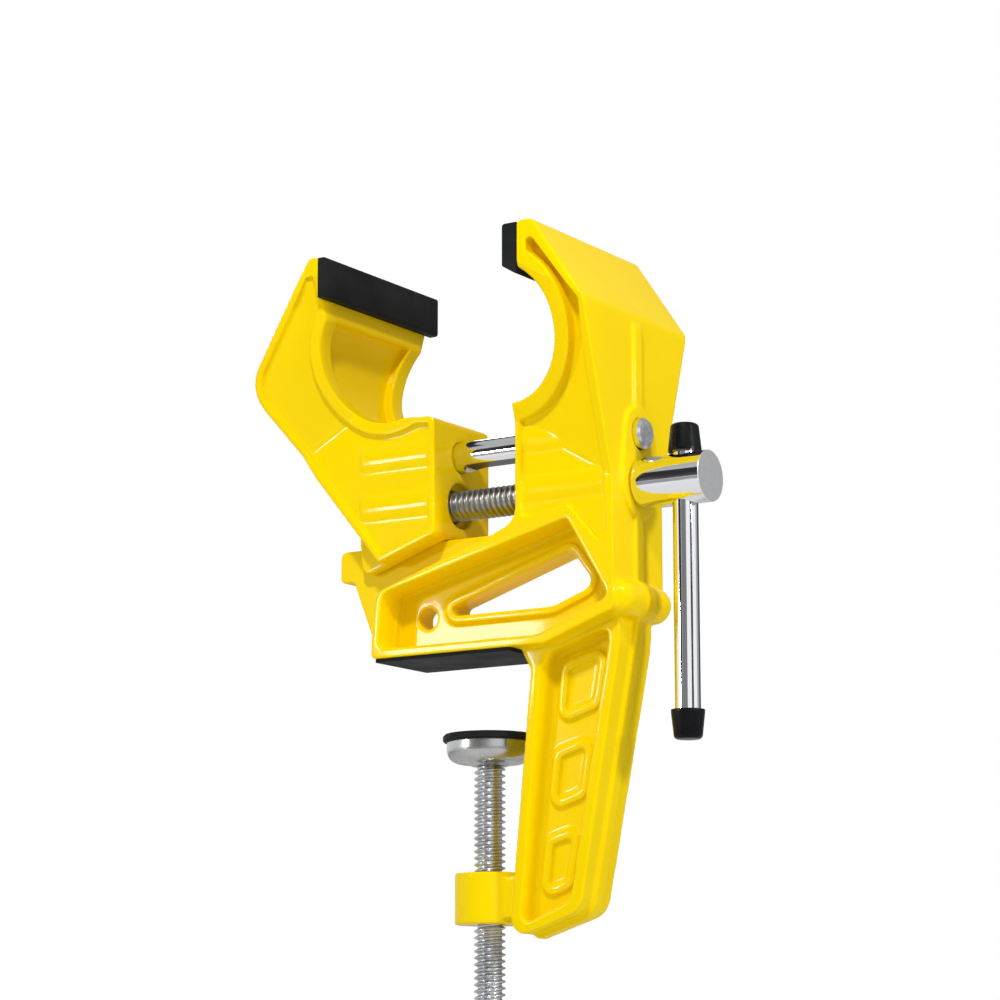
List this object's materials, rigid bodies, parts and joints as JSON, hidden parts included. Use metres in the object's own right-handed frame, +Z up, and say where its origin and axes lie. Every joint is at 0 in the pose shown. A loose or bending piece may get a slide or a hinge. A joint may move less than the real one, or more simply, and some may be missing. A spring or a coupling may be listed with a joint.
{
  "type": "ski tuning vise",
  "caption": "Table-clamped ski tuning vise with flared yellow jaws, rubber pads, a crank spindle beside a guide rod, and a screw clamp with a swivelling pad below.",
  "frame": {"origin": "on the table seat under the arm, on the clamp screw's axis, in the middle plane", "axes": "+Z up along the clamp screw, +X from the clamp screw towards the crank handle, +Y along the held ski"},
  "size_m": [0.1897, 0.1184, 0.3255],
  "materials": {
    "paint": "glossy yellow paint over a die casting",
    "chrome": "bright chrome plate",
    "steel": "turned and threaded steel",
    "zinc": "zinc-plated pressed steel",
    "rubber": "matt black rubber",
    "plastic": "satin black plastic"
  },
  "bodies": {
    "frame": {"frame_casting": "paint", "fixed_jaw_pad": "rubber", "seat_liner": "rubber", "rod_stop_pin": "steel"},
    "sliding_jaw": {"moving_jaw_casting": "paint", "moving_jaw_pad": "rubber", "guide_rod": "chrome", "guide_rod_pin": "steel", "jaw_nut": "zinc", "jaw_nut_pin": "steel"},
    "spindle": {"jaw_spindle": "steel", "spindle_washer": "steel", "spindle_retaining_ring": "steel", "spindle_head": "chrome", "spindle_head_pin": "steel"},
    "crank_bar": {"spindle_bar": "chrome", "spindle_bar_cap_top": "plastic", "spindle_bar_cap_bottom": "plastic"},
    "clamp_pad": {"clamp_pad_cup": "zinc", "clamp_pad_rubber": "rubber"},
    "clamp_spindle": {"clamp_screw": "steel", "clamp_head": "chrome", "clamp_head_pin": "steel"},
    "clamp_crank_bar": {"clamp_bar": "chrome", "clamp_bar_cap_near": "plastic", "clamp_bar_cap_far": "plastic"}
  },
  "joints": [
    {"name": "spindle_turn", "type": "hinge", "parent": "frame", "child": "spindle", "pos_m": [0.0684, 0, 0.0615], "axis": [-1, 0, 0], "range_deg": [-2880, 1440]},
    {"name": "jaw_slide", "type": "slide", "parent": "frame", "child": "sliding_jaw", "axis": [1, 0, 0], "range_m": [-0.0205, 0.0105]},
    {"name": "spindle_bar_slide", "type": "slide", "parent": "spindle", "child": "crank_bar", "axis": [0, 0, 1], "range_m": [0, 0.0763]},
    {"name": "pad_rise", "type": "slide", "parent": "frame", "child": "clamp_pad", "axis": [0, 0, 1], "range_m": [-0.0385, 0.0275]},
    {"name": "clamp_turn", "type": "hinge", "parent": "clamp_pad", "child": "clamp_spindle", "pos_m": [0, 0, -0.0817], "axis": [0, 0, 1], "range_deg": [-5460, 3880]},
    {"name": "clamp_bar_slide", "type": "slide", "parent": "clamp_spindle", "child": "clamp_crank_bar", "axis": [0, 1, 0], "range_m": [-0.0381, 0.0381]}
  ],
  "couplings": [
    {"joint": "jaw_slide", "follows": "spindle_turn", "m_per_rad": 0.00039789},
    {"joint": "pad_rise", "follows": "clamp_turn", "m_per_rad": 0.00039789}
  ]
}
